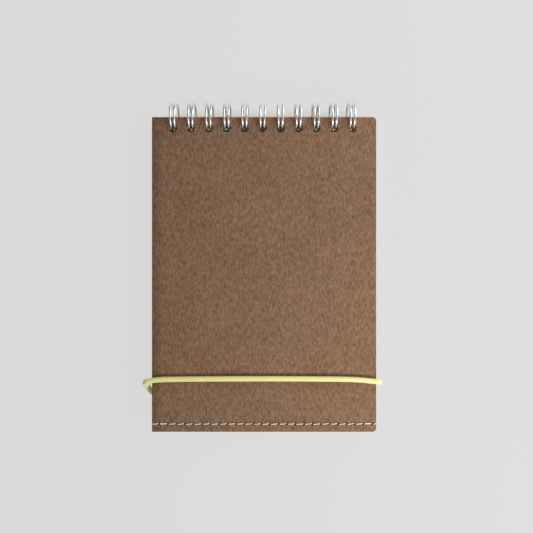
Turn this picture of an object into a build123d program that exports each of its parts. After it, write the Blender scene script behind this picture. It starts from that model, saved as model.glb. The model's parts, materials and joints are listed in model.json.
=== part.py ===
from build123d import *
import os

# A top-bound pocket notebook lying on its back: the cover faces up, the twin-loop wire
# binding lies along the top edge, and an elastic cord closes the lower part.
# Frame: +X to the cover's right, +Y to the binding, +Z up. z = 0 is the surface the
# notebook lies on, and x = y = 0 is the centre of its outline.

os.makedirs("parts", exist_ok=True)

# ---- Driving dimensions, mm ----

COVER_WIDTH = 106.0
COVER_LENGTH = 148.7
CORNER_RADIUS = 1.8             # the two right-hand corners; the left ones are square
BACK_COVER_THICKNESS = 1.2
POCKET_LAYER = 0.5              # the front cover is one board folded into a flat pocket
POCKET_GAP = 0.1
SHEET_COUNT = 48
SHEET_THICKNESS = 0.11
SHEET_PITCH = 0.12
SHEET_WIDTH = 105.0             # A6 format
SHEET_LENGTH = 148.0
SHEET_DROP = 0.4                # the sheets hang a little lower on the wire than the covers
SHEET_HOLE_DIAMETER = 3.9

WIRE_DIAMETER = 1.0
LOOP_RADIUS = 6.65              # wire centreline round the binding's axis
LOOP_COUNT = 11
LOOP_PITCH = 25.4 / 3           # three loops to the inch
FIRST_LOOP_INSET = 10.0         # from the cover's left edge
LEG_HALF_GAP = 1.03             # half the distance between a loop's two legs
LEG_LEAN = 0.03                 # the legs close up a little towards the pages
TIP_ANGLE = -46.0               # where a loop's closed end lies, degrees up from -Y
BASE_ANGLE = 289.4              # where the legs turn into the straight base runs
BASE_BEND_RADIUS = 1.0
AXIS_BEYOND_EDGE = 0.8          # the binding's axis lies just outside the top edge
HOLE_DIAMETER = 4.2
HOLE_INSET = 5.1                # hole centre from the top edge

STITCH_PITCH = 4.02
NEEDLE_HOLE_COUNT = 26
FIRST_NEEDLE_HOLE_INSET = 3.5   # from the cover's left edge
STITCH_ROW_INSET = 3.8          # from the bottom edge
NEEDLE_HOLE_DIAMETER = 1.3
NEEDLE_THREAD_DIAMETER = 0.5
BOBBIN_THREAD_DIAMETER = 0.3
THREAD_CLEARANCE = 0.01
THREAD_DIP_WIDTH = 0.6          # between the two legs of a dip into a needle hole
THREAD_ROOM = 0.35              # between the pocket and the top sheet

CORD_DIAMETER = 2.6
CORD_CLEARANCE = 0.2            # over the front cover
LEFT_STAND_OFF = 2.9            # cord centreline beyond the left edge, where it bulges
RIGHT_STAND_OFF = 1.5
LEFT_TOP_BEND_RADIUS = 2.4
LEFT_SIDE_BEND_RADIUS = 6.0
LEFT_BOTTOM_BEND_RADIUS = 3.4
RIGHT_BEND_RADIUS = 1.6
SAG_RADIUS = 15.0
CRIMP_LENGTH = 9.0
CRIMP_WIDTH = 3.6
CRIMP_BORE = 1.84
SQUEEZED_CORD = 1.8             # cord diameter inside the crimp
CORD_END_GAP = 0.1              # from each cord end to the crimp's middle

# ---- Places that follow from them ----

WIRE_RADIUS = WIRE_DIAMETER / 2
CORD_RADIUS = CORD_DIAMETER / 2
OUTLINE_WIDTH = COVER_WIDTH + LEFT_STAND_OFF + RIGHT_STAND_OFF + CORD_DIAMETER
OUTLINE_LENGTH = COVER_LENGTH + AXIS_BEYOND_EDGE + LOOP_RADIUS + WIRE_RADIUS

LEFT = -OUTLINE_WIDTH / 2 + LEFT_STAND_OFF + CORD_RADIUS
RIGHT = LEFT + COVER_WIDTH
MIDDLE = (LEFT + RIGHT) / 2
BOTTOM = -OUTLINE_LENGTH / 2
TOP = BOTTOM + COVER_LENGTH

AXIS_Y = TOP + AXIS_BEYOND_EDGE
AXIS_Z = LOOP_RADIUS + WIRE_RADIUS
FRONT_COVER_THICKNESS = 2 * POCKET_LAYER + POCKET_GAP
SHEETS_THICKNESS = SHEET_COUNT * SHEET_PITCH
STACK_THICKNESS = (
    BACK_COVER_THICKNESS + SHEETS_THICKNESS + THREAD_ROOM + FRONT_COVER_THICKNESS
)
BACK_FACE = AXIS_Z - STACK_THICKNESS / 2
SHEETS_TOP = BACK_FACE + BACK_COVER_THICKNESS + SHEETS_THICKNESS
POCKET_BASE = SHEETS_TOP + THREAD_ROOM
POCKET_MIDDLE = POCKET_BASE + FRONT_COVER_THICKNESS / 2
FRONT_FACE = POCKET_BASE + FRONT_COVER_THICKNESS

HOLE_ROW_X = LEFT + FIRST_LOOP_INSET + (LOOP_COUNT - 1) * LOOP_PITCH / 2
HOLE_ROW_Y = TOP - HOLE_INSET
STITCH_ROW_Y = BOTTOM + STITCH_ROW_INSET
FIRST_NEEDLE_HOLE_X = LEFT + FIRST_NEEDLE_HOLE_INSET
NEEDLE_ROW_MIDDLE = FIRST_NEEDLE_HOLE_X + (NEEDLE_HOLE_COUNT - 1) * STITCH_PITCH / 2


def save(piece, name):
    """Label a finished piece and write it as its own STEP file."""
    piece.part.label = name
    export_step(piece.part, f"parts/{name}.step")


# ---- Back cover: a plain board, square at the left, rounded at the right ----

with BuildPart() as back_cover:
    with BuildSketch(Plane.XY.offset(BACK_FACE)) as back_outline:
        with Locations((MIDDLE, BOTTOM + COVER_LENGTH / 2)):
            Rectangle(COVER_WIDTH, COVER_LENGTH)
        fillet(back_outline.vertices().group_by(Axis.X)[-1], CORNER_RADIUS)
        with Locations((HOLE_ROW_X, HOLE_ROW_Y)):
            with GridLocations(LOOP_PITCH, 0, LOOP_COUNT, 1):
                Circle(HOLE_DIAMETER / 2, mode=Mode.SUBTRACT)
    extrude(amount=BACK_COVER_THICKNESS)
save(back_cover, "back_cover")


# ---- Sheets: sheet_01 lies on top, straight under the front cover ----


def cut_sheet(base):
    """One punched sheet whose lower face lies at the height base."""
    with BuildPart() as sheet:
        with BuildSketch(Plane.XY.offset(base)) as outline:
            with Locations((MIDDLE, TOP - SHEET_DROP)):
                Rectangle(SHEET_WIDTH, SHEET_LENGTH, align=(Align.CENTER, Align.MAX))
            fillet(outline.vertices().group_by(Axis.X)[-1], CORNER_RADIUS)
            with Locations((HOLE_ROW_X, HOLE_ROW_Y - SHEET_DROP)):
                with GridLocations(LOOP_PITCH, 0, LOOP_COUNT, 1):
                    Circle(SHEET_HOLE_DIAMETER / 2, mode=Mode.SUBTRACT)
        extrude(amount=SHEET_THICKNESS)
    return sheet


for number in range(1, SHEET_COUNT + 1):
    layer_top = SHEETS_TOP - (number - 1) * SHEET_PITCH
    save(cut_sheet(layer_top - SHEET_THICKNESS), f"sheet_{number:02d}")


# ---- Front cover: one board folded at the left edge into a flat pocket ----

with BuildPart() as front_cover:
    with BuildSketch(Plane.XZ.offset(-BOTTOM)) as fold_profile:
        fold_radius = FRONT_COVER_THICKNESS / 2
        with Locations((LEFT + fold_radius, POCKET_MIDDLE)):
            Circle(fold_radius)
            Rectangle(
                COVER_WIDTH - fold_radius, FRONT_COVER_THICKNESS,
                align=(Align.MIN, Align.CENTER),
            )
            Circle(POCKET_GAP / 2, mode=Mode.SUBTRACT)
            Rectangle(
                COVER_WIDTH, POCKET_GAP, align=(Align.MIN, Align.CENTER), mode=Mode.SUBTRACT
            )
    extrude(amount=-COVER_LENGTH)
    open_edge_corners = front_cover.edges().filter_by(Axis.Z).group_by(Axis.X)[-1]
    fillet(open_edge_corners, CORNER_RADIUS)
    with Locations((HOLE_ROW_X, HOLE_ROW_Y, FRONT_FACE)):
        with GridLocations(LOOP_PITCH, 0, LOOP_COUNT, 1):
            Hole(HOLE_DIAMETER / 2)
    with Locations((NEEDLE_ROW_MIDDLE, STITCH_ROW_Y, FRONT_FACE)):
        with GridLocations(STITCH_PITCH, 0, NEEDLE_HOLE_COUNT, 1):
            Hole(NEEDLE_HOLE_DIAMETER / 2)
save(front_cover, "front_cover")


# ---- Stitching: a needle thread on top and a thinner bobbin thread under the pocket ----


def lay_thread(diameter, lying, dipped):
    """A thread that lies at one height along the stitch row and dips into each needle
    hole to another height, where it meets the thread from the other side."""
    corners = [(LEFT + diameter, lying)]
    for hole in range(NEEDLE_HOLE_COUNT):
        centre = FIRST_NEEDLE_HOLE_X + hole * STITCH_PITCH
        near, far = centre - THREAD_DIP_WIDTH / 2, centre + THREAD_DIP_WIDTH / 2
        corners += [(near, lying), (near, dipped), (far, dipped), (far, lying)]
    corners.append((RIGHT - diameter, lying))
    bend_radius = diameter / 2 + 0.02
    with BuildPart() as thread:
        with BuildLine(Plane.XZ.offset(-STITCH_ROW_Y)):
            FilletPolyline(*corners, radius=bend_radius)
        with BuildSketch(Plane((corners[0][0], STITCH_ROW_Y, lying), z_dir=(1, 0, 0))):
            Circle(diameter / 2)
        sweep()
    return thread


needle_drop = NEEDLE_THREAD_DIAMETER / 2 + THREAD_CLEARANCE
bobbin_drop = BOBBIN_THREAD_DIAMETER / 2 + THREAD_CLEARANCE
needle_thread = lay_thread(
    NEEDLE_THREAD_DIAMETER, FRONT_FACE + needle_drop, POCKET_MIDDLE + needle_drop
)
bobbin_thread = lay_thread(
    BOBBIN_THREAD_DIAMETER, POCKET_BASE - bobbin_drop, POCKET_MIDDLE - bobbin_drop
)
save(needle_thread, "needle_thread")
save(bobbin_thread, "bobbin_thread")


# ---- Wire binding: one wire bent into double loops, joined by straight base runs ----


def leg_plane(centre_x, side):
    """The slightly leaning plane of one leg, with its origin on the binding's axis."""
    return Plane(
        origin=(centre_x + side * LEG_HALF_GAP, AXIS_Y, AXIS_Z),
        x_dir=(-side * LEG_LEAN, -1, 0),
        z_dir=(-1, side * LEG_LEAN, 0),
    )


def add_wire_along(stretch):
    """Round wire along one arc or straight run."""
    with BuildSketch(Plane(origin=stretch @ 0, z_dir=stretch % 0)) as section:
        Circle(WIRE_RADIUS)
    sweep(section.sketch, path=stretch)


def add_loop(centre_x):
    """One double loop, from the middle of one base run to the middle of the next."""
    tips = []
    for side in (-1, 1):
        plane = leg_plane(centre_x, side)
        with BuildLine(plane):
            leg = CenterArc((0, 0), LOOP_RADIUS, TIP_ANGLE, BASE_ANGLE - TIP_ANGLE)
        foot, heading = leg @ 1, leg % 1
        across = Vector(side, 0, 0)
        bend_plane = Plane(origin=foot, x_dir=heading, z_dir=heading.cross(across))
        with BuildLine(bend_plane):
            bend = JernArc((0, 0), (1, 0), BASE_BEND_RADIUS, heading.get_angle(across))
        with BuildLine():
            run_end = Vector(centre_x + side * LOOP_PITCH / 2, (bend @ 1).Y, (bend @ 1).Z)
            run = Line(bend @ 1, run_end)
        tips.append(leg)
        for stretch in (leg, bend, run):
            add_wire_along(stretch)
    with BuildLine():
        tip = TangentArc(tips[0] @ 0, tips[1] @ 0, tangent=-(tips[0] % 0))
    add_wire_along(tip)


with BuildPart() as wire_binding:
    for loop in range(LOOP_COUNT):
        add_loop(LEFT + FIRST_LOOP_INSET + loop * LOOP_PITCH)
save(wire_binding, "wire_binding")


# ---- Elastic closure: a round cord looped round the notebook, its ends in a crimp ----
# Heights above the cover's bottom edge follow how the cord lies: the front strand sags
# towards both ends, and the sides slope down to a lower strand behind the back cover.

FRONT_STRAND_Z = FRONT_FACE + CORD_CLEARANCE + CORD_RADIUS
BACK_STRAND_Z = CORD_RADIUS
CORD_LEFT_X = LEFT - LEFT_STAND_OFF
CORD_RIGHT_X = RIGHT + RIGHT_STAND_OFF
CRIMP_X = MIDDLE + 6
CRIMP_Y = BOTTOM + 19
CRIMP_LEFT = (CRIMP_X - CRIMP_LENGTH / 2, CRIMP_Y, BACK_STRAND_Z)
CRIMP_RIGHT = (CRIMP_X + CRIMP_LENGTH / 2, CRIMP_Y, BACK_STRAND_Z)

# Each corner of the cord's line between its two ends, with the radius of its bend.
CORD_CORNERS = [
    ((CRIMP_X - CRIMP_LENGTH / 2 - 2, CRIMP_Y, BACK_STRAND_Z), SAG_RADIUS),
    ((LEFT - 1.9, BOTTOM + 16.1, BACK_STRAND_Z), LEFT_BOTTOM_BEND_RADIUS),
    ((CORD_LEFT_X, BOTTOM + 20.8, BACK_STRAND_Z + 6.3), LEFT_SIDE_BEND_RADIUS),
    ((CORD_LEFT_X, BOTTOM + 24.0, FRONT_STRAND_Z), LEFT_TOP_BEND_RADIUS),
    ((LEFT + 6, BOTTOM + 25.1, FRONT_STRAND_Z), SAG_RADIUS),
    ((MIDDLE, BOTTOM + 25.4, FRONT_STRAND_Z), SAG_RADIUS),
    ((RIGHT - 10, BOTTOM + 25.1, FRONT_STRAND_Z), SAG_RADIUS),
    ((CORD_RIGHT_X, BOTTOM + 23.9, FRONT_STRAND_Z), RIGHT_BEND_RADIUS),
    ((CORD_RIGHT_X, BOTTOM + 21.5, BACK_STRAND_Z), RIGHT_BEND_RADIUS),
    ((CRIMP_X + CRIMP_LENGTH / 2 + 2, CRIMP_Y, BACK_STRAND_Z), SAG_RADIUS),
]
CORD_ROUTE = [CRIMP_LEFT, *(place for place, _ in CORD_CORNERS), CRIMP_RIGHT]
CORD_BEND_RADII = [radius for _, radius in CORD_CORNERS]

with BuildPart() as elastic_loop:
    with BuildLine() as cord_line:
        FilletPolyline(*CORD_ROUTE, radius=CORD_BEND_RADII)
    with BuildSketch(Plane(origin=cord_line.line @ 0, z_dir=cord_line.line % 0)):
        Circle(CORD_RADIUS)
    sweep()
    for crimp_face, inward in ((CRIMP_LEFT, 1), (CRIMP_RIGHT, -1)):
        with BuildSketch(Plane(origin=crimp_face, z_dir=(inward, 0, 0))):
            Circle(SQUEEZED_CORD / 2)
        extrude(amount=CRIMP_LENGTH / 2 - CORD_END_GAP)
save(elastic_loop, "elastic_loop")
cord_length = cord_line.wire().length + CRIMP_LENGTH
print(f"elastic cord: {cord_length:.1f} mm round the notebook")

with BuildPart() as elastic_crimp:
    with BuildSketch(Plane(origin=CRIMP_LEFT, z_dir=(1, 0, 0))):
        Ellipse(CORD_RADIUS, CRIMP_WIDTH / 2)
        Circle(CRIMP_BORE / 2, mode=Mode.SUBTRACT)
    extrude(amount=CRIMP_LENGTH)
save(elastic_crimp, "elastic_crimp")
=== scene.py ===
"""A top-bound pocket notebook: board covers, paper sheets, a double-loop wire binding,
a stitched pocket seam and a braided elastic closure, finished round its CAD frame."""

import json
import math
import random

import bmesh
import bpy
from mathutils import Matrix, Vector


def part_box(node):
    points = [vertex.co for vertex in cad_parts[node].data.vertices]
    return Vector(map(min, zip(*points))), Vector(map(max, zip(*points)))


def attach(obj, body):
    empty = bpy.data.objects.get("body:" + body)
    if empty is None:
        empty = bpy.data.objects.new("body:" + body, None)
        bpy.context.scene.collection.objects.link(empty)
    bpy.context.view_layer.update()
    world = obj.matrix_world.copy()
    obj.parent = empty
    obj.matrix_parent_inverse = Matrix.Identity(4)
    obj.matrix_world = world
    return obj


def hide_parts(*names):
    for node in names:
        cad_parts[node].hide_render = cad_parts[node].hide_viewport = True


bl_info = {
    "name": "Pocket Notebook",
    "version": (1, 0, 0),
    "blender": (4, 5, 0),
    "location": "View3D > Sidebar > Notebook",
    "description": "Finishes a wire-bound pocket notebook piece by piece",
    "category": "Add Mesh",
}

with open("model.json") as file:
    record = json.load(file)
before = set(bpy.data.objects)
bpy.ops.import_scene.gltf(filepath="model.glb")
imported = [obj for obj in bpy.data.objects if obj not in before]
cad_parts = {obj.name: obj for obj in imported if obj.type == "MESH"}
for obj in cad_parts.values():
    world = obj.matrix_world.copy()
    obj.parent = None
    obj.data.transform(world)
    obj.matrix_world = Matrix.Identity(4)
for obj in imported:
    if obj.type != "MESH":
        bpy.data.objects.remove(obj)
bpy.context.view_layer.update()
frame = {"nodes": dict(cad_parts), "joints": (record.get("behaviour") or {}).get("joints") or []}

MM = 0.001
X_AXIS = Vector((1, 0, 0))
Y_AXIS = Vector((0, 1, 0))
Z_AXIS = Vector((0, 0, 1))


def joint_named(name):
    """One joint of the frame, by name."""
    return next(joint for joint in frame["joints"] if joint["name"] == name)


FRONT_LOW, FRONT_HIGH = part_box("front_cover")
BACK_LOW, BACK_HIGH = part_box("back_cover")
WIRE_LOW, WIRE_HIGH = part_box("wire_binding")
CORD_LOW, CORD_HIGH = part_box("elastic_loop")
CRIMP_LOW, CRIMP_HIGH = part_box("elastic_crimp")
THREAD_LOW, THREAD_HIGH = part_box("needle_thread")
BINDING_AXIS = Vector(joint_named("front_cover_turn")["pos_m"])

LOOP_COUNT = 11
LOOP_PITCH = (WIRE_HIGH.x - WIRE_LOW.x) / LOOP_COUNT
LOOP_CENTRES = [WIRE_LOW.x + (loop + 0.5) * LOOP_PITCH for loop in range(LOOP_COUNT)]
HOLE_RADIUS = 2.1 * MM
HOLE_INSET = 5.1 * MM  # from the cover's top edge
HOLE_ROW_Y = FRONT_HIGH.y - HOLE_INSET
NEEDLE_HOLE_RADIUS = 0.65 * MM
STITCH_PITCH = 4.02 * MM
STITCH_ROW_Y = (THREAD_LOW.y + THREAD_HIGH.y) / 2
NEEDLE_HOLE_COUNT = 26
FIRST_NEEDLE_HOLE_X = FRONT_LOW.x + 3.5 * MM
NEEDLE_HOLES = [FIRST_NEEDLE_HOLE_X + hole * STITCH_PITCH for hole in range(NEEDLE_HOLE_COUNT)]


# ---- Sizes and colours that a user would change ----


class BoardSettings(bpy.types.PropertyGroup):
    """The two covers."""

    layer: bpy.props.FloatProperty(
        name="Pocket layer", description="Thickness of each layer of the folded front cover",
        default=0.5 * MM, unit="LENGTH",
    )
    corner: bpy.props.FloatProperty(
        name="Corner radius", description="Rounding of the two corners away from the fold",
        default=1.8 * MM, unit="LENGTH",
    )
    edge: bpy.props.FloatProperty(
        name="Edge wear", description="Width of the softened edge of the cut board",
        default=0.09 * MM, unit="LENGTH",
    )
    colour: bpy.props.FloatVectorProperty(
        name="Board", description="Middle tone of the brown board", subtype="COLOR",
        size=4, default=(0.240, 0.134, 0.079, 1), min=0, max=1,
    )
    dark_fibre: bpy.props.FloatVectorProperty(
        name="Dark fibre", description="Tone of the darker fibres", subtype="COLOR",
        size=4, default=(0.155, 0.066, 0.028, 1), min=0, max=1,
    )
    pale_fibre: bpy.props.FloatVectorProperty(
        name="Pale fibre", description="Tone of the paler fibres", subtype="COLOR",
        size=4, default=(0.325, 0.214, 0.142, 1), min=0, max=1,
    )


class PaperSettings(bpy.types.PropertyGroup):
    """The sheets."""

    colour: bpy.props.FloatVectorProperty(
        name="Paper", description="Tone of the uncoated paper", subtype="COLOR",
        size=4, default=(0.83, 0.75, 0.56, 1), min=0, max=1,
    )
    # Darker tone painted into the cut edges as shade between the sheets.
    sheet_gap_shade: bpy.props.FloatVectorProperty(
        name="Cut edge", description="Tone between the sheets at the cut edges", subtype="COLOR",
        size=4, default=(0.60, 0.51, 0.34, 1), min=0, max=1,
    )


class WireSettings(bpy.types.PropertyGroup):
    """The double-loop binding wire."""

    thickness: bpy.props.FloatProperty(
        name="Wire", description="Diameter of the wire", default=1.0 * MM, unit="LENGTH",
    )
    leg_gap: bpy.props.FloatProperty(
        name="Leg gap", description="Distance between a loop's two legs",
        default=2.06 * MM, unit="LENGTH",
    )
    lean: bpy.props.FloatProperty(
        name="Lean", description="How much the legs close up towards the pages", default=0.03,
    )
    bend: bpy.props.FloatProperty(
        name="Base bend", description="Radius where a leg turns into the base run",
        default=1.0 * MM, unit="LENGTH",
    )
    colour: bpy.props.FloatVectorProperty(
        name="Plating", description="Tone of the plated wire", subtype="COLOR",
        size=4, default=(0.90, 0.90, 0.91, 1), min=0, max=1,
    )


class StitchSettings(bpy.types.PropertyGroup):
    """The seam along the free edge."""

    thickness: bpy.props.FloatProperty(
        name="Thread", description="Diameter of the twisted thread",
        default=0.56 * MM, unit="LENGTH",
    )
    plies: bpy.props.IntProperty(
        name="Plies", description="Yarns twisted into the thread", default=3, min=2, max=4,
    )
    colour: bpy.props.FloatVectorProperty(
        name="Thread colour", description="Tone of the cotton", subtype="COLOR",
        size=4, default=(0.86, 0.77, 0.60, 1), min=0, max=1,
    )


class ElasticSettings(bpy.types.PropertyGroup):
    """The braided elastic and its crimp."""

    thickness: bpy.props.FloatProperty(
        name="Cord", description="Diameter over the braid", default=2.6 * MM, unit="LENGTH",
    )
    strands: bpy.props.IntProperty(
        name="Strands", description="Strands that turn each way round the cord",
        default=8, min=4, max=16,
    )
    braid_pitch: bpy.props.FloatProperty(
        name="Braid pitch", description="Length of one braid diamond along the cord",
        default=1.25 * MM, unit="LENGTH",
    )
    colour: bpy.props.FloatVectorProperty(
        name="Yarn", description="Tone of the yellow yarn", subtype="COLOR",
        size=4, default=(0.90, 0.87, 0.38, 1), min=0, max=1,
    )
    # Colour painted into the braid's grooves as shade.
    shade: bpy.props.FloatVectorProperty(
        name="Yarn shade", description="Tone in the grooves of the braid", subtype="COLOR",
        size=4, default=(0.66, 0.55, 0.10, 1), min=0, max=1,
    )


class StageSettings(bpy.types.PropertyGroup):
    """The floor, the lights and the camera."""

    distance: bpy.props.FloatProperty(
        name="Camera height", description="Camera above the front cover",
        default=0.25, unit="LENGTH",
    )
    field: bpy.props.FloatProperty(
        name="Field", description="Width seen at the front cover", default=0.2518, unit="LENGTH",
    )
    floor_glow: bpy.props.FloatProperty(
        name="Floor glow", description="Even light that the backlit floor gives off",
        default=0.67,
    )
    floor_tone: bpy.props.FloatProperty(
        name="Floor tone", description="How much of the lamps' light the floor returns",
        default=0.05,
    )
    haze: bpy.props.FloatProperty(
        name="Haze", description="Brightness of the room at the horizon", default=0.70,
    )
    near_sky: bpy.props.FloatProperty(
        name="Near ceiling", description="Brightness of the room above the free edge", default=0.34,
    )
    far_sky: bpy.props.FloatProperty(
        name="Far ceiling", description="Brightness of the room above the binding", default=0.08,
    )


# ---- Small helpers for materials ----


def new_material(name):
    """A node material with only its Principled shader, and its node tree."""
    material = bpy.data.materials.new(name)
    material.use_nodes = True
    tree = material.node_tree
    shader = next(node for node in tree.nodes if node.type == "BSDF_PRINCIPLED")
    return material, tree, shader


def add_node(tree, kind, values=None, **settings):
    """A shader node with its settings, and its input values by name or number."""
    node = tree.nodes.new(kind)
    for key, value in settings.items():
        setattr(node, key, value)
    for key, value in (values or {}).items():
        node.inputs[key].default_value = value
    return node


def object_pattern(tree, scale):
    """Object coordinates stretched by scale, for a pattern that stays on the piece."""
    place = add_node(tree, "ShaderNodeTexCoord")
    mapping = add_node(tree, "ShaderNodeMapping", {"Scale": scale})
    tree.links.new(place.outputs["Object"], mapping.inputs["Vector"])
    return mapping.outputs["Vector"]


def add_noise(tree, vector, scale, detail=4.0, roughness=0.55, distortion=0.0):
    """Noise on the given coordinates; returns its value output."""
    noise = add_node(
        tree, "ShaderNodeTexNoise",
        {"Scale": scale, "Detail": detail, "Roughness": roughness, "Distortion": distortion},
    )
    tree.links.new(vector, noise.inputs["Vector"])
    return noise.outputs["Fac"]


def remap(tree, value, low, high, to_low=0.0, to_high=1.0):
    """Stretch a value from low..high to to_low..to_high, clamped."""
    node = add_node(
        tree, "ShaderNodeMapRange",
        {"From Min": low, "From Max": high, "To Min": to_low, "To Max": to_high},
    )
    tree.links.new(value, node.inputs["Value"])
    return node.outputs["Result"]


def mix_colour(tree, factor, first, second, blend="MIX"):
    """Mix two colours, each a colour or a socket, by a factor value or socket."""
    node = add_node(tree, "ShaderNodeMix", data_type="RGBA", blend_type=blend)
    inputs = node.inputs
    for socket, item in ((inputs[0], factor), (inputs[6], first), (inputs[7], second)):
        if isinstance(item, bpy.types.NodeSocket):
            tree.links.new(item, socket)
        else:
            socket.default_value = item
    return node.outputs[2]


def add_math(tree, operation, first, second):
    """A math node on two values or sockets."""
    node = add_node(tree, "ShaderNodeMath", operation=operation)
    for socket, item in ((node.inputs[0], first), (node.inputs[1], second)):
        if isinstance(item, bpy.types.NodeSocket):
            tree.links.new(item, socket)
        else:
            socket.default_value = item
    return node.outputs["Value"]


def add_bump(tree, shader, height, strength, distance):
    """Bump the shader's normal by a height socket."""
    bump = add_node(tree, "ShaderNodeBump", {"Strength": strength, "Distance": distance})
    tree.links.new(height, bump.inputs["Height"])
    tree.links.new(bump.outputs["Normal"], shader.inputs["Normal"])


def tilt_of_face(tree):
    """How far a face turns away from lying flat: 0 on the flat faces, 1 on the cut edges."""
    geometry = add_node(tree, "ShaderNodeNewGeometry")
    split = add_node(tree, "ShaderNodeSeparateXYZ")
    tree.links.new(geometry.outputs["True Normal"], split.inputs["Vector"])
    upright = add_math(tree, "ABSOLUTE", split.outputs["Z"], 0.0)
    return remap(tree, upright, 0.95, 0.35)


# ---- Materials ----


def make_board(settings, name, fold_x=None):
    """Brown fibreboard with short fibres along its length, and a band of painted shade along
    the fold at fold_x, darkest at the fold."""
    material, tree, shader = new_material(name)
    even = object_pattern(tree, (1, 1, 1))
    lengthwise = object_pattern(tree, (1, 0.36, 1))
    fibres = add_noise(tree, lengthwise, 1250, 3.0, 0.6, 0.5)
    fine_fibres = add_noise(tree, lengthwise, 2700, 3.0, 0.6, 0.4)
    grain = add_noise(tree, even, 2100, 3.0, 0.65)
    mottle = add_noise(tree, even, 360, 4.0, 0.7)
    clouds = add_noise(tree, even, 60, 3.0, 0.5)

    tone = mix_colour(
        tree, remap(tree, fibres, 0.37, 0.63), settings.dark_fibre, settings.pale_fibre
    )
    fine = mix_colour(
        tree, remap(tree, fine_fibres, 0.38, 0.62), settings.dark_fibre, settings.pale_fibre
    )
    tone = mix_colour(tree, 0.35, tone, fine)
    tone = mix_colour(tree, 0.12, tone, settings.colour)
    reddish = mix_colour(tree, 1.0, tone, (1.05, 0.97, 0.93, 1), "MULTIPLY")
    olive = mix_colour(tree, 1.0, tone, (0.97, 1.04, 1.02, 1), "MULTIPLY")
    tone = mix_colour(tree, remap(tree, mottle, 0.40, 0.60), reddish, olive)
    cloudy = mix_colour(
        tree, remap(tree, clouds, 0.3, 0.7), (0.95, 0.95, 0.95, 1), (1.05, 1.05, 1.05, 1)
    )
    tone = mix_colour(tree, 1.0, tone, cloudy, "MULTIPLY")
    tone = mix_colour(tree, remap(tree, grain, 0.27, 0.38, 0.5, 0.0), tone, settings.dark_fibre)
    tone = mix_colour(tree, remap(tree, grain, 0.66, 0.76, 0.0, 0.6), tone, settings.pale_fibre)
    if fold_x is not None:
        place = add_node(tree, "ShaderNodeSeparateXYZ")
        tree.links.new(even, place.inputs["Vector"])
        # Painted shade: the board darkens over 5.5 mm towards the fold, standing in for the shade
        # on the pocket's rounded edge.
        near_fold = remap(tree, place.outputs["X"], fold_x, fold_x + 5.5 * MM, 1.0, 0.0)
        fold_shade = mix_colour(tree, 1.0, tone, (0.70, 0.66, 0.62, 1), "MULTIPLY")
        tone = mix_colour(tree, near_fold, tone, fold_shade)

    layers = add_noise(tree, object_pattern(tree, (0.2, 0.2, 1)), 9000, 2.0)
    core = mix_colour(tree, remap(tree, layers, 0.35, 0.65), settings.colour, settings.pale_fibre)
    tone = mix_colour(tree, tilt_of_face(tree), tone, core)
    tree.links.new(tone, shader.inputs["Base Color"])
    tree.links.new(remap(tree, grain, 0.3, 0.7, 0.8, 0.95), shader.inputs["Roughness"])
    shader.inputs["Specular IOR Level"].default_value = 0.12

    height = add_math(tree, "ADD", fibres, add_math(tree, "MULTIPLY", fine_fibres, 0.6))
    height = add_math(tree, "ADD", height, add_math(tree, "MULTIPLY", grain, 0.6))
    add_bump(tree, shader, height, 0.6, 0.10 * MM)
    return material


def make_paper(settings):
    """Uncoated cream paper; the cut edges are painted darker in bands, as painted shade between the
    sheets.
    """
    material, tree, shader = new_material("cream paper")
    even = object_pattern(tree, (1, 1, 1))
    layered = object_pattern(tree, (0.02, 0.02, 1))
    pulp = add_noise(tree, even, 1500, 5.0, 0.6)
    sheet_tone = add_noise(tree, layered, 7000, 2.0, 0.7)
    # Painted shade between the sheets: the cut edges take a darker tone in random bands.
    edge = mix_colour(
        tree, remap(tree, sheet_tone, 0.35, 0.6), settings.sheet_gap_shade, settings.colour
    )
    face = mix_colour(
        tree, remap(tree, pulp, 0.35, 0.65), settings.colour,
        tuple(0.93 * channel for channel in settings.colour[:3]) + (1,),
    )
    tree.links.new(mix_colour(tree, tilt_of_face(tree), face, edge), shader.inputs["Base Color"])
    tree.links.new(remap(tree, pulp, 0.3, 0.7, 0.8, 0.95), shader.inputs["Roughness"])
    shader.inputs["Specular IOR Level"].default_value = 0.3
    add_bump(tree, shader, pulp, 0.25, 0.03 * MM)
    return material


def make_plated_wire(settings):
    """Bright plated wire with faint handling marks."""
    material, tree, shader = new_material("plated wire")
    even = object_pattern(tree, (1, 1, 1))
    marks = add_noise(tree, even, 900, 4.0, 0.6)
    dull = tuple(0.9 * channel for channel in settings.colour[:3]) + (1,)
    tree.links.new(
        mix_colour(tree, remap(tree, marks, 0.4, 0.75), settings.colour, dull),
        shader.inputs["Base Color"],
    )
    tree.links.new(remap(tree, marks, 0.3, 0.7, 0.26, 0.36), shader.inputs["Roughness"])
    shader.inputs["Metallic"].default_value = 1.0
    return material


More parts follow.
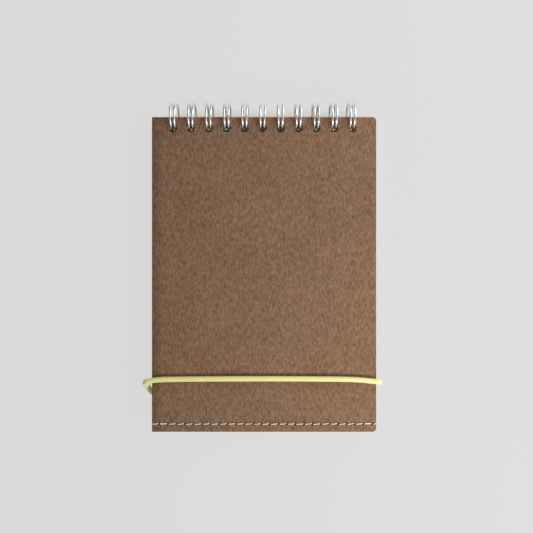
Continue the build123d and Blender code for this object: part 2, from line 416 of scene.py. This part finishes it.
def make_thread(settings):
    """Twisted cotton with a soft, slightly fuzzy face, a little darker in random patches, and
    painted shade where it enters the board.
    """
    material, tree, shader = new_material("cotton thread")
    even = object_pattern(tree, (1, 1, 1))
    fibre = add_noise(tree, even, 9000, 3.0, 0.6)
    soil = add_noise(tree, even, 260, 2.0, 0.5)
    deep = tuple(0.72 * channel for channel in settings.colour[:3]) + (1,)
    tone = mix_colour(tree, remap(tree, fibre, 0.35, 0.65), deep, settings.colour)
    tone = mix_colour(tree, remap(tree, soil, 0.45, 0.8, 0.0, 0.3), tone, deep)
    place = add_node(tree, "ShaderNodeSeparateXYZ")
    tree.links.new(even, place.inputs["Vector"])
    # Painted shade: the thread darkens as it sinks below the board's face into the needle holes.
    sunk = remap(
        tree, place.outputs["Z"], FRONT_HIGH.z - 0.1 * MM, FRONT_HIGH.z + 0.4 * MM, 0.85, 0.0
    )
    hole_shade = tuple(0.25 * channel for channel in settings.colour[:3]) + (1,)
    tone = mix_colour(tree, sunk, tone, hole_shade)
    tree.links.new(tone, shader.inputs["Base Color"])
    tree.links.new(remap(tree, fibre, 0.3, 0.7, 0.75, 0.95), shader.inputs["Roughness"])
    shader.inputs["Sheen Weight"].default_value = 0.35
    shader.inputs["Sheen Roughness"].default_value = 0.4
    shader.inputs["Specular IOR Level"].default_value = 0.25
    add_bump(tree, shader, fibre, 0.4, 0.03 * MM)
    return material


def make_yarn(settings):
    """Yellow polyester braid: the grooves are painted a darker olive as shade, the crowns of the
    strands keep the bright yarn colour.
    """
    material, tree, shader = new_material("yellow braid")
    even = object_pattern(tree, (1, 1, 1))
    fibre = add_noise(tree, even, 8000, 3.0, 0.6)
    crown = add_node(tree, "ShaderNodeAttribute", attribute_name="crown")
    # Painted shade: the braid's grooves take the darker shade colour.
    groove_shade_mix = remap(tree, crown.outputs["Fac"], 0.05, 0.6)
    tone = mix_colour(tree, groove_shade_mix, settings.shade, settings.colour)
    pale = tuple(min(1.0, 1.08 * channel + 0.05) for channel in settings.colour[:3]) + (1,)
    tone = mix_colour(tree, remap(tree, fibre, 0.4, 0.7, 0.0, 0.6), tone, pale)
    tree.links.new(tone, shader.inputs["Base Color"])
    tree.links.new(remap(tree, fibre, 0.3, 0.7, 0.5, 0.75), shader.inputs["Roughness"])
    shader.inputs["Sheen Weight"].default_value = 0.4
    shader.inputs["Sheen Roughness"].default_value = 0.35
    shader.inputs["Specular IOR Level"].default_value = 0.4
    add_bump(tree, shader, fibre, 0.35, 0.03 * MM)
    return material


def make_crimp_metal():
    """Pressed steel, brushed round the sleeve and scuffed."""
    material, tree, shader = new_material("pressed steel")
    brushed = object_pattern(tree, (1, 0.05, 0.05))
    lines = add_noise(tree, brushed, 9000, 2.0, 0.6)
    scuffs = add_noise(tree, object_pattern(tree, (1, 1, 1)), 700, 5.0, 0.7)
    tone = mix_colour(
        tree, remap(tree, scuffs, 0.4, 0.7), (0.62, 0.61, 0.59, 1), (0.42, 0.41, 0.40, 1)
    )
    tree.links.new(tone, shader.inputs["Base Color"])
    tree.links.new(remap(tree, lines, 0.3, 0.7, 0.25, 0.48), shader.inputs["Roughness"])
    shader.inputs["Metallic"].default_value = 1.0
    add_bump(tree, shader, lines, 0.2, 0.01 * MM)
    return material


# ---- Small helpers for meshes ----


def finish_piece(bm, name, material, body, replaced=()):
    """Turn a bmesh into a smooth-shaded piece that rides on a body and stands for CAD nodes."""
    mesh = bpy.data.meshes.new(name)
    bm.to_mesh(mesh)
    bm.free()
    return place_mesh(mesh, name, material, body, replaced)


def place_mesh(mesh, name, material, body, replaced=()):
    """Make a mesh a piece of the notebook."""
    mesh.polygons.foreach_set("use_smooth", [True] * len(mesh.polygons))
    mesh.materials.clear()
    mesh.materials.append(material)
    piece = bpy.data.objects.new(name, mesh)
    bpy.context.scene.collection.objects.link(piece)
    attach(piece, body)
    if replaced:
        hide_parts(*replaced)
    return piece


def dress_node(name, material):
    """Give a CAD node a finer material."""
    node = frame["nodes"][name]
    node.data.materials.clear()
    node.data.materials.append(material)


def punch_board(bm, low, high, height, corner, loop_holes, needle_holes, edge_points=()):
    """A flat board outline at one height, rounded at its right corners, with its holes.
    edge_points are heights along Y where the left edge gets an extra vertex."""
    corners = [(low.x, low.y), (high.x, low.y), (high.x, high.y), (low.x, high.y)]
    left_edge = [(low.x, y) for y in sorted(edge_points, reverse=True)]
    rim = [bm.verts.new((x, y, height)) for x, y in corners + left_edge]
    bm.faces.new(rim)
    bmesh.ops.bevel(
        bm, geom=[rim[1], rim[2]], offset=corner, segments=10, profile=0.5,
        affect="VERTICES", material=-1, offset_type="OFFSET",
    )
    face = next(iter(bm.faces))
    edges = list(face.edges)
    bmesh.ops.delete(bm, geom=[face], context="FACES_ONLY")
    holes = [(x, HOLE_ROW_Y, HOLE_RADIUS, 40) for x in loop_holes]
    holes += [(x, STITCH_ROW_Y, NEEDLE_HOLE_RADIUS, 16) for x in needle_holes]
    for x, y, radius, segments in holes:
        ring = bmesh.ops.create_circle(
            bm, cap_ends=False, segments=segments, radius=radius,
            matrix=Matrix.Translation((x, y, height)),
        )
        edges += list({edge for vert in ring["verts"] for edge in vert.link_edges})
    bmesh.ops.triangle_fill(bm, use_beauty=True, use_dissolve=False, edges=edges)


def thicken(piece, thickness, edge):
    """Give a flat board its thickness, soft edges and clean shading."""
    wall = piece.modifiers.new("Thickness", "SOLIDIFY")
    wall.thickness = thickness
    wall.offset = 0.0
    soft = piece.modifiers.new("Soft edges", "BEVEL")
    soft.width = edge
    soft.segments = 3
    soft.limit_method = "ANGLE"
    soft.angle_limit = math.radians(50)
    shading = piece.modifiers.new("Flat shading", "WEIGHTED_NORMAL")
    shading.keep_sharp = True


def tube_along(points, thickness, sides, name):
    """The mesh of a round tube along a list of points."""
    curve = bpy.data.curves.new(name, "CURVE")
    curve.dimensions = "3D"
    curve.twist_mode = "MINIMUM"
    curve.bevel_depth = thickness / 2
    curve.bevel_resolution = sides // 4 - 1
    curve.use_fill_caps = True
    spline = curve.splines.new("POLY")
    spline.points.add(len(points) - 1)
    for target, point in zip(spline.points, points):
        target.co = (*point, 1)
    return convert_curve(curve, name)


def convert_curve(curve, name):
    """A curve's mesh; the curve itself is removed."""
    holder = bpy.data.objects.new(name, curve)
    bpy.context.scene.collection.objects.link(holder)
    bpy.context.view_layer.update()
    graph = bpy.context.evaluated_depsgraph_get()
    mesh = bpy.data.meshes.new_from_object(holder.evaluated_get(graph))
    bpy.data.objects.remove(holder)
    bpy.data.curves.remove(curve)
    return mesh


def smooth_line(points, name):
    """Points along the smooth line that a list of control points gives."""
    curve = bpy.data.curves.new(name, "CURVE")
    curve.dimensions = "3D"
    curve.resolution_u = 40
    spline = curve.splines.new("NURBS")
    spline.points.add(len(points) - 1)
    for target, point in zip(spline.points, points):
        target.co = (*point, 1)
    spline.order_u = 3
    spline.use_endpoint_u = True
    mesh = convert_curve(curve, name)
    line = [vert.co.copy() for vert in mesh.vertices]
    bpy.data.meshes.remove(mesh)
    return line


def even_steps(line, step):
    """The same line with evenly spaced points."""
    reach = [0.0]
    for near, far in zip(line, line[1:]):
        reach.append(reach[-1] + (far - near).length)
    count = max(2, round(reach[-1] / step))
    evened = []
    index = 0
    for number in range(count + 1):
        wanted = reach[-1] * number / count
        while index < len(line) - 2 and reach[index + 1] < wanted:
            index += 1
        span = reach[index + 1] - reach[index]
        share = (wanted - reach[index]) / span if span else 0.0
        evened.append(line[index].lerp(line[index + 1], min(1.0, share)))
    return evened


# ---- Operators: one for each piece or group of like pieces ----


class NOTEBOOK_OT_front_cover(bpy.types.Operator):
    """Build the folded pocket of the front cover, with its punched and sewn holes"""

    bl_idname = "notebook.front_cover"
    bl_label = "Front Cover"

    NICK_INSET = 36.8 * MM  # a small nick in the fold, from the cover's top edge

    def execute(self, context):
        settings = context.scene.notebook_board
        fold_radius = (FRONT_HIGH.z - FRONT_LOW.z) / 2
        middle = (FRONT_HIGH.z + FRONT_LOW.z) / 2
        layer_height = fold_radius - settings.layer / 2
        low = Vector((FRONT_LOW.x + fold_radius, FRONT_LOW.y, 0))
        nick = FRONT_HIGH.y - self.NICK_INSET
        nick_points = [nick - 0.35 * MM, nick - 0.1 * MM, nick + 0.15 * MM, nick + 0.4 * MM]
        bm = bmesh.new()
        punch_board(
            bm, low, FRONT_HIGH, middle + layer_height, settings.corner,
            LOOP_CENTRES, NEEDLE_HOLES, nick_points,
        )
        top_layer = list(bm.verts) + list(bm.edges) + list(bm.faces)
        copied = bmesh.ops.duplicate(bm, geom=top_layer)["geom"]
        lower = [item for item in copied if isinstance(item, bmesh.types.BMVert)]
        bmesh.ops.translate(bm, verts=lower, vec=(0, 0, -2 * layer_height))
        fold_edges = [
            edge for edge in bm.edges
            if all(abs(v.co.x - low.x) < 1e-7 and v.co.z > middle for v in edge.verts)
        ]
        fold_verts = list({vert for edge in fold_edges for vert in edge.verts})
        bmesh.ops.spin(
            bm, geom=fold_verts + fold_edges, cent=(low.x, 0, middle), axis=(0, -1, 0),
            dvec=(0, 0, 0), angle=math.pi, steps=10, use_merge=False, use_duplicate=False,
        )
        for vert in bm.verts:
            if vert.co.x < low.x - 1e-6 and abs(vert.co.y - nick) < 0.2 * MM:
                vert.co.x = low.x - 0.45 * (low.x - vert.co.x)
        bmesh.ops.remove_doubles(bm, verts=bm.verts, dist=0.01 * MM)
        bmesh.ops.recalc_face_normals(bm, faces=bm.faces)
        piece = finish_piece(
            bm, "front_cover_pocket", make_board(settings, "folded fibreboard", FRONT_LOW.x),
            "front_cover", ["front_cover"],
        )
        thicken(piece, settings.layer, settings.edge)
        return {"FINISHED"}


class NOTEBOOK_OT_back_cover(bpy.types.Operator):
    """Build the plain back board with its punched holes"""

    bl_idname = "notebook.back_cover"
    bl_label = "Back Cover"

    def execute(self, context):
        settings = context.scene.notebook_board
        bm = bmesh.new()
        punch_board(
            bm, BACK_LOW, BACK_HIGH, (BACK_LOW.z + BACK_HIGH.z) / 2, settings.corner,
            LOOP_CENTRES, [],
        )
        bmesh.ops.recalc_face_normals(bm, faces=bm.faces)
        piece = finish_piece(
            bm, "back_cover_board", make_board(settings, "plain fibreboard"), "root",
            ["back_cover"],
        )
        thicken(piece, BACK_HIGH.z - BACK_LOW.z, 1.5 * settings.edge)
        return {"FINISHED"}


class NOTEBOOK_OT_sheets(bpy.types.Operator):
    """Give every sheet its cream paper"""

    bl_idname = "notebook.sheets"
    bl_label = "Sheets"

    def execute(self, context):
        paper = make_paper(context.scene.notebook_paper)
        for name in frame["nodes"]:
            if name.startswith("sheet_"):
                dress_node(name, paper)
        return {"FINISHED"}


class NOTEBOOK_OT_wire(bpy.types.Operator):
    """Bend the double-loop binding wire"""

    bl_idname = "notebook.wire"
    bl_label = "Wire Binding"

    WIRE_SIDES = 16
    TURN_STEPS, LOOP_STEPS, BEND_STEPS = 14, 72, 10
    TIP_ANGLE = math.radians(-46.0)
    BASE_ANGLE = math.radians(289.4)

    def spin_ring(self, bm, ring, centre, axis, angle, steps):
        """Carry a ring of wire round an axis and return the last ring."""
        spun = bmesh.ops.spin(
            bm, geom=ring, cent=centre, axis=axis, dvec=(0, 0, 0), angle=angle,
            steps=steps, use_merge=False, use_duplicate=False,
        )
        return spun["geom_last"]

    def add_loop(self, bm, centre_x, settings):
        """One double loop, from the middle of one base run to the middle of the next."""
        wire_radius = settings.thickness / 2
        loop_radius = (WIRE_HIGH.z - WIRE_LOW.z) / 2 - wire_radius
        for side in (1, -1):
            hub = BINDING_AXIS.copy()
            hub.x = centre_x + side * settings.leg_gap / 2
            outward = Vector((-side * settings.lean, -1, 0)).normalized()
            spindle = Vector((-1, side * settings.lean, 0)).normalized()

            def heading_at(angle):
                return -math.sin(angle) * outward + math.cos(angle) * Z_AXIS

            def place_at(angle):
                return hub + loop_radius * (math.cos(angle) * outward + math.sin(angle) * Z_AXIS)

            tip, tip_heading = place_at(self.TIP_ANGLE), heading_at(self.TIP_ANGLE)
            turn = Matrix((spindle, tip_heading.cross(spindle), tip_heading)).transposed().to_4x4()
            start = bmesh.ops.create_circle(
                bm, cap_ends=False, segments=self.WIRE_SIDES, radius=wire_radius,
                matrix=Matrix.Translation(tip) @ turn,
            )["verts"]
            ring = start + list({edge for vert in start for edge in vert.link_edges})
            if side == 1:
                across = tip.x - centre_x
                drift = math.asin(-tip_heading.x)
                tip_radius = across / math.cos(drift)
                tangent = -tip_heading
                inward = (-X_AXIS - (-X_AXIS).dot(tangent) * tangent).normalized()
                self.spin_ring(
                    bm, ring, tip + tip_radius * inward, tangent.cross(inward),
                    math.pi + 2 * drift, self.TURN_STEPS,
                )
            sweep = self.BASE_ANGLE - self.TIP_ANGLE
            ring = [item for item in ring if item.is_valid]
            ring = self.spin_ring(bm, ring, hub, outward.cross(Z_AXIS), sweep, self.LOOP_STEPS)
            foot, heading = place_at(self.BASE_ANGLE), heading_at(self.BASE_ANGLE)
            run_way = side * X_AXIS
            bend_in = (run_way - run_way.dot(heading) * heading).normalized()
            ring = self.spin_ring(
                bm, ring, foot + settings.bend * bend_in, heading.cross(bend_in),
                heading.angle(run_way), self.BEND_STEPS,
            )
            middle = sum((v.co.x for v in ring if isinstance(v, bmesh.types.BMVert)), 0.0)
            middle /= self.WIRE_SIDES
            reach = centre_x + side * LOOP_PITCH / 2 - middle
            edges = [item for item in ring if isinstance(item, bmesh.types.BMEdge)]
            run = bmesh.ops.extrude_edge_only(bm, edges=edges)["geom"]
            ends = [item for item in run if isinstance(item, bmesh.types.BMVert)]
            bmesh.ops.translate(bm, verts=ends, vec=(reach, 0, 0))
            for vert in ends:
                vert.co.x = centre_x + side * LOOP_PITCH / 2

    def execute(self, context):
        settings = context.scene.notebook_wire
        bm = bmesh.new()
        for centre_x in LOOP_CENTRES:
            self.add_loop(bm, centre_x, settings)
        bmesh.ops.remove_doubles(bm, verts=bm.verts, dist=0.03 * MM)
        open_ends = [edge for edge in bm.edges if edge.is_boundary]
        bmesh.ops.holes_fill(bm, edges=open_ends, sides=0)
        bmesh.ops.recalc_face_normals(bm, faces=bm.faces)
        finish_piece(
            bm, "binding_wire", make_plated_wire(settings), "root",
            ["wire_binding"],
        )
        return {"FINISHED"}


class NOTEBOOK_OT_stitching(bpy.types.Operator):
    """Sew the seam: twisted stitches on top and the bobbin thread inside"""

    bl_idname = "notebook.stitching"
    bl_label = "Stitching"

    POINTS_PER_TWIST = 9
    HOLE_REACH = 0.48 * MM  # how far from a hole's middle, and how deep, a stitch ends

    def add_ply(self, bm, line, thickness, turn):
        """One yarn of a stitch, wound round the stitch's own line."""
        offset = 0.27 * thickness
        wound = []
        for number, point in enumerate(line):
            near = line[max(0, number - 1)]
            far = line[min(len(line) - 1, number + 1)]
            along = (far - near).normalized()
            up = along.cross(Y_AXIS).normalized()
            angle = turn + math.tau * number / self.POINTS_PER_TWIST
            wound.append(point + offset * (math.cos(angle) * Y_AXIS + math.sin(angle) * up))
        mesh = tube_along(wound, 0.58 * thickness, 8, "ply")
        bm.from_mesh(mesh)
        bpy.data.meshes.remove(mesh)

    def add_stitch(self, bm, start, end, height, thickness, plies, shift, tilt):
        """One stitch that rises out of a hole, lies on the board and dives into the next."""
        sunk = FRONT_HIGH.z - self.HOLE_REACH
        rise, dive = start + self.HOLE_REACH, end - self.HOLE_REACH
        low_y, high_y = STITCH_ROW_Y + shift - tilt, STITCH_ROW_Y + shift + tilt
        route = [
            Vector((rise, low_y, sunk)),
            Vector((rise + 0.06 * MM, low_y, height - 0.12 * MM)),
            Vector((rise + 0.5 * MM, low_y, height)),
            Vector(((start + end) / 2, (low_y + high_y) / 2, height + 0.04 * MM)),
            Vector((dive - 0.5 * MM, high_y, height)),
            Vector((dive - 0.06 * MM, high_y, height - 0.12 * MM)),
            Vector((dive, high_y, sunk)),
        ]
        line = even_steps(smooth_line(route, "stitch"), 0.13 * MM)
        for ply in range(plies):
            self.add_ply(bm, line, thickness, math.tau * ply / plies)

    def execute(self, context):
        settings = context.scene.notebook_stitch
        thickness, plies = settings.thickness, settings.plies
        height = FRONT_HIGH.z + 0.5 * thickness
        dice = random.Random(7)
        bm = bmesh.new()
        ends = [FRONT_LOW.x - 0.2 * MM] + NEEDLE_HOLES + [FRONT_HIGH.x + 0.2 * MM]
        for number, (start, end) in enumerate(zip(ends, ends[1:])):
            shift = dice.uniform(-0.06, 0.06) * MM
            tilt = dice.uniform(0.08, 0.17) * MM
            self.add_stitch(bm, start, end, height, thickness, plies, shift, tilt)
            if number in (1, len(ends) - 3):
                doubled = shift + 0.45 * thickness
                self.add_stitch(
                    bm, start, end, height + 0.2 * thickness, thickness, plies, doubled, -tilt
                )
        thread = make_thread(settings)
        finish_piece(bm, "seam_stitches", thread, "front_cover", ["needle_thread"])
        dress_node("bobbin_thread", thread)
        return {"FINISHED"}


class NOTEBOOK_OT_elastic(bpy.types.Operator):
    """Braid the elastic cord along its route round the notebook"""

    bl_idname = "notebook.elastic"
    bl_label = "Elastic Cord"

    SIDES = 40
    STEP = 0.17 * MM
    GROOVE = 0.16 * MM  # depth between the strands

    def route(self, thickness):
        """Control points of the cord's line, close together where it turns an edge."""
        top = CORD_HIGH.z - thickness / 2
        low = thickness / 2
        left = CORD_LOW.x + thickness / 2
        right = CORD_HIGH.x - thickness / 2
        bottom = FRONT_LOW.y
        crimp_y = (CRIMP_LOW.y + CRIMP_HIGH.y) / 2
        cover_left, cover_right = FRONT_LOW.x, FRONT_HIGH.x
        places = [
            (CRIMP_LOW.x, crimp_y - bottom, low),
            (CRIMP_LOW.x - 3 * MM, crimp_y - bottom, low),
            (cover_left + 25 * MM, 17.6 * MM, low),
            (cover_left + 4.0 * MM, 16.3 * MM, low),
            (cover_left - 1.9 * MM, 16.1 * MM, low),
            (left + 0.5 * MM, 18.4 * MM, 4.5 * MM),
            (left, 20.7 * MM, 7.6 * MM),
            (left, 22.6 * MM, top - 2.2 * MM),
            (left, 24.0 * MM, top),
            (left + 4.5 * MM, 24.75 * MM, top),
            (cover_left + 6.0 * MM, 25.1 * MM, top),
            (cover_left + 28 * MM, 25.3 * MM, top),
            (0.5 * (cover_left + cover_right), 25.4 * MM, top),
            (cover_right - 28 * MM, 25.3 * MM, top),
            (cover_right - 10.0 * MM, 25.1 * MM, top),
            (right - 4.0 * MM, 24.3 * MM, top),
            (right, 23.9 * MM, top),
            (right, 23.4 * MM, top - 2.8 * MM),
            (right, 22.0 * MM, low + 2.8 * MM),
            (right, 21.5 * MM, low),
            (right - 4.0 * MM, 21.4 * MM, low),
            (right - 20 * MM, 20.5 * MM, low),
            (CRIMP_HIGH.x + 3 * MM, crimp_y - bottom, low),
            (CRIMP_HIGH.x, crimp_y - bottom, low),
        ]
        return [Vector((x, bottom + y, z)) for x, y, z in places]

    def braid(self, mesh, ring_count, settings):
        """Raise the crossing strands of the braid out of a plain tube."""
        strands, pitch = settings.strands, settings.braid_pitch
        verts = mesh.vertices
        sides = len(verts) // ring_count
        crowns = [0.0] * len(verts)
        for ring in range(ring_count):
            members = range(ring * sides, (ring + 1) * sides)
            centre = sum((verts[i].co for i in members), Vector()) / sides
            for place, index in enumerate(members):
                around = strands * place / sides
                along = ring * self.STEP / pitch
                one, other = around + along, around - along
                over = (math.floor(one) + math.floor(other)) % 2 == 0
                first = math.sin(math.pi * (one % 1.0))
                second = math.sin(math.pi * (other % 1.0))
                crown = first * (0.55 + 0.45 * second) if over else second * (0.55 + 0.45 * first)
                crowns[index] = crown
                depth = self.GROOVE * (1 - crown)
                outward = (verts[index].co - centre).normalized()
                verts[index].co -= depth * outward
        layer = mesh.attributes.new("crown", "FLOAT", "POINT")
        layer.data.foreach_set("value", crowns)

    def execute(self, context):
        settings = context.scene.notebook_elastic
        line = even_steps(smooth_line(self.route(settings.thickness), "cord line"), self.STEP)
        mesh = tube_along(line, settings.thickness, self.SIDES, "elastic_cord")
        self.braid(mesh, len(line), settings)
        place_mesh(
            mesh, "elastic_cord", make_yarn(settings), "elastic", ["elastic_loop"]
        )
        return {"FINISHED"}


class NOTEBOOK_OT_crimp(bpy.types.Operator):
    """Press the steel sleeve that joins the two ends of the elastic"""

    bl_idname = "notebook.crimp"
    bl_label = "Elastic Crimp"

    SIDES = 40
    # Place along the sleeve from end to end, and the share of its full size there.
    PROFILE = (
        (0.0, 0.93), (0.03, 0.985), (0.07, 1.0), (0.22, 1.0), (0.27, 0.9), (0.33, 0.9), (0.38, 1.0),
        (0.62, 1.0), (0.67, 0.9), (0.73, 0.9), (0.78, 1.0), (0.93, 1.0), (0.97, 0.985), (1.0, 0.93),
    )

    def execute(self, context):
        length = CRIMP_HIGH.x - CRIMP_LOW.x
        centre = (CRIMP_LOW + CRIMP_HIGH) / 2
        half_width = (CRIMP_HIGH.y - CRIMP_LOW.y) / 2
        half_height = (CRIMP_HIGH.z - CRIMP_LOW.z) / 2
        bm = bmesh.new()
        lay_down = Matrix.Rotation(math.radians(90), 4, "Y")
        rings = []
        shares = list(self.PROFILE) + [(1.0, 0.72), (0.5, 0.7), (0.0, 0.72)]
        for place, share in shares:
            squash = Matrix.Diagonal((half_height * share, half_width * share, 1, 1))
            spot = Matrix.Translation((CRIMP_LOW.x + place * length, centre.y, centre.z))
            ring = bmesh.ops.create_circle(
                bm, cap_ends=False, segments=self.SIDES, radius=1.0, matrix=spot @ lay_down @ squash
            )
            rings.append(list({edge for vert in ring["verts"] for edge in vert.link_edges}))
        for near, far in zip(rings, rings[1:] + rings[:1]):
            bmesh.ops.bridge_loops(bm, edges=near + far)
        bmesh.ops.recalc_face_normals(bm, faces=bm.faces)
        finish_piece(
            bm, "crimp_sleeve", make_crimp_metal(), "elastic", ["elastic_crimp"]
        )
        return {"FINISHED"}


class NOTEBOOK_OT_stage(bpy.types.Operator):
    """Set the pale floor, the soft lights and the camera straight above the cover"""

    bl_idname = "notebook.stage"
    bl_label = "Stage"

    def add_light(self, name, place, aim, size, power):
        """A square area light that faces a point."""
        lamp = bpy.data.lights.new(name, "AREA")
        lamp.shape = "SQUARE"
        lamp.size = size
        lamp.energy = power
        holder = bpy.data.objects.new(name, lamp)
        holder.location = place
        holder.rotation_euler = (Vector(aim) - Vector(place)).to_track_quat("-Z", "Y").to_euler()
        bpy.context.scene.collection.objects.link(holder)

    def beyond(self, tree, place, low, high):
        """How far a place on the floor lies outside a box, negative inside it."""
        middle, half = (low + high) / 2, (high - low) / 2
        sides = []
        for axis, centre, reach in (("X", middle.x, half.x), ("Y", middle.y, half.y)):
            offset = add_math(tree, "SUBTRACT", place.outputs[axis], centre)
            sides.append(add_math(tree, "SUBTRACT", add_math(tree, "ABSOLUTE", offset, 0.0), reach))
        return add_math(tree, "MAXIMUM", *sides)

    def lay_floor(self, settings):
        """A wide pale floor, evenly backlit; its glow fades out under the notebook as a painted
        contact shadow, and dims a little under the loops as a painted shadow."""
        bm = bmesh.new()
        bmesh.ops.create_grid(bm, x_segments=2, y_segments=2, size=6.0)
        mesh = bpy.data.meshes.new("floor")
        bm.to_mesh(mesh)
        bm.free()
        material, tree, shader = new_material("pale floor")
        place = add_node(tree, "ShaderNodeSeparateXYZ")
        tree.links.new(object_pattern(tree, (1, 1, 1)), place.inputs["Vector"])
        covered = self.beyond(tree, place, BACK_LOW, BACK_HIGH)
        looped = self.beyond(tree, place, WIRE_LOW, WIRE_HIGH)
        # Painted shadow: no glow under the notebook, and the glow dimmed to 0.72 under the loops.
        glow = remap(tree, covered, -4.0 * MM, 0.0, 0.0, settings.floor_glow)
        painted_loop_shadow = remap(tree, looped, -6.5 * MM, -1.0 * MM, 0.72, 1.0)
        glow = add_math(tree, "MULTIPLY", glow, painted_loop_shadow)
        tree.links.new(glow, shader.inputs["Emission Strength"])
        shader.inputs["Emission Color"].default_value = (1, 1, 1, 1)
        shader.inputs["Base Color"].default_value = (*[settings.floor_tone] * 3, 1)
        shader.inputs["Roughness"].default_value = 0.95
        shader.inputs["Specular IOR Level"].default_value = 0.0
        mesh.materials.append(material)
        floor = bpy.data.objects.new("floor", mesh)
        bpy.context.scene.collection.objects.link(floor)

    def light_room(self, scene, settings):
        """A plain room, bright round the horizon and dimmer above the binding."""
        world = bpy.data.worlds.new("soft room")
        world.use_nodes = True
        tree = world.node_tree
        way = add_node(tree, "ShaderNodeTexCoord")
        split = add_node(tree, "ShaderNodeSeparateXYZ")
        tree.links.new(way.outputs["Generated"], split.inputs["Vector"])
        sky = remap(tree, split.outputs["Y"], -0.6, 0.6, settings.near_sky, settings.far_sky)
        haze = remap(tree, split.outputs["Z"], 0.02, 0.30, settings.haze, 0.0)
        strength = add_math(tree, "MAXIMUM", sky, haze)
        background = tree.nodes["Background"]
        background.inputs["Color"].default_value = (1, 1, 1, 1)
        tree.links.new(strength, background.inputs["Strength"])
        scene.world = world

    def execute(self, context):
        scene = context.scene
        settings = scene.notebook_stage
        self.lay_floor(settings)
        self.light_room(scene, settings)
        scene.view_settings.view_transform = "Standard"
        aim = (0, 0, 0.01)
        self.add_light("key", (0.17, -0.165, 0.20), aim, 0.06, 0.58)
        self.add_light("side", (0.22, 0.19, 0.15), aim, 0.24, 0.74)
        self.add_light("front", (0.06, -0.40, 0.24), aim, 0.24, 0.12)

        camera = bpy.data.cameras.new("camera")
        camera.sensor_width = 36.0
        camera.lens = camera.sensor_width * settings.distance / settings.field
        camera.clip_start = 0.01
        holder = bpy.data.objects.new("camera", camera)
        middle = (FRONT_LOW + FRONT_HIGH) / 2
        holder.location = (
            middle.x + 1.2 * MM, FRONT_HIGH.y - 70.6 * MM, FRONT_HIGH.z + settings.distance
        )
        scene.collection.objects.link(holder)
        scene.camera = holder
        return {"FINISHED"}


class NOTEBOOK_PT_sidebar(bpy.types.Panel):
    """The notebook's pieces and their settings"""

    bl_idname = "NOTEBOOK_PT_sidebar"
    bl_label = "Pocket Notebook"
    bl_space_type = "VIEW_3D"
    bl_region_type = "UI"
    bl_category = "Notebook"

    def draw(self, context):
        for group, operators in PIECES:
            box = self.layout.box()
            settings = getattr(context.scene, group)
            for name in settings.__annotations__:
                box.prop(settings, name)
            for operator in operators:
                box.operator(operator.bl_idname)


# Each group of settings, by its name on the scene, and the operators that use it.
PIECES = (
    ("notebook_stage", (NOTEBOOK_OT_stage,)),
    ("notebook_board", (NOTEBOOK_OT_front_cover, NOTEBOOK_OT_back_cover)),
    ("notebook_paper", (NOTEBOOK_OT_sheets,)),
    ("notebook_wire", (NOTEBOOK_OT_wire,)),
    ("notebook_stitch", (NOTEBOOK_OT_stitching,)),
    ("notebook_elastic", (NOTEBOOK_OT_elastic, NOTEBOOK_OT_crimp)),
)
SETTINGS = {
    "notebook_stage": StageSettings,
    "notebook_board": BoardSettings,
    "notebook_paper": PaperSettings,
    "notebook_wire": WireSettings,
    "notebook_stitch": StitchSettings,
    "notebook_elastic": ElasticSettings,
}
OPERATORS = [operator for _, operators in PIECES for operator in operators]


def register():
    """Register the settings, the operators and the panel."""
    for name, group in SETTINGS.items():
        bpy.utils.register_class(group)
        setattr(bpy.types.Scene, name, bpy.props.PointerProperty(type=group))
    for operator in OPERATORS:
        bpy.utils.register_class(operator)
    bpy.utils.register_class(NOTEBOOK_PT_sidebar)


def unregister():
    """Take the panel, the operators and the settings away again."""
    bpy.utils.unregister_class(NOTEBOOK_PT_sidebar)
    for operator in reversed(OPERATORS):
        bpy.utils.unregister_class(operator)
    for name, group in SETTINGS.items():
        delattr(bpy.types.Scene, name)
        bpy.utils.unregister_class(group)


def main():
    """Finish the notebook, one piece after another."""
    register()
    for operator in OPERATORS:
        family, name = operator.bl_idname.split(".")
        getattr(getattr(bpy.ops, family), name)()


if __name__ == "__main__":
    main()
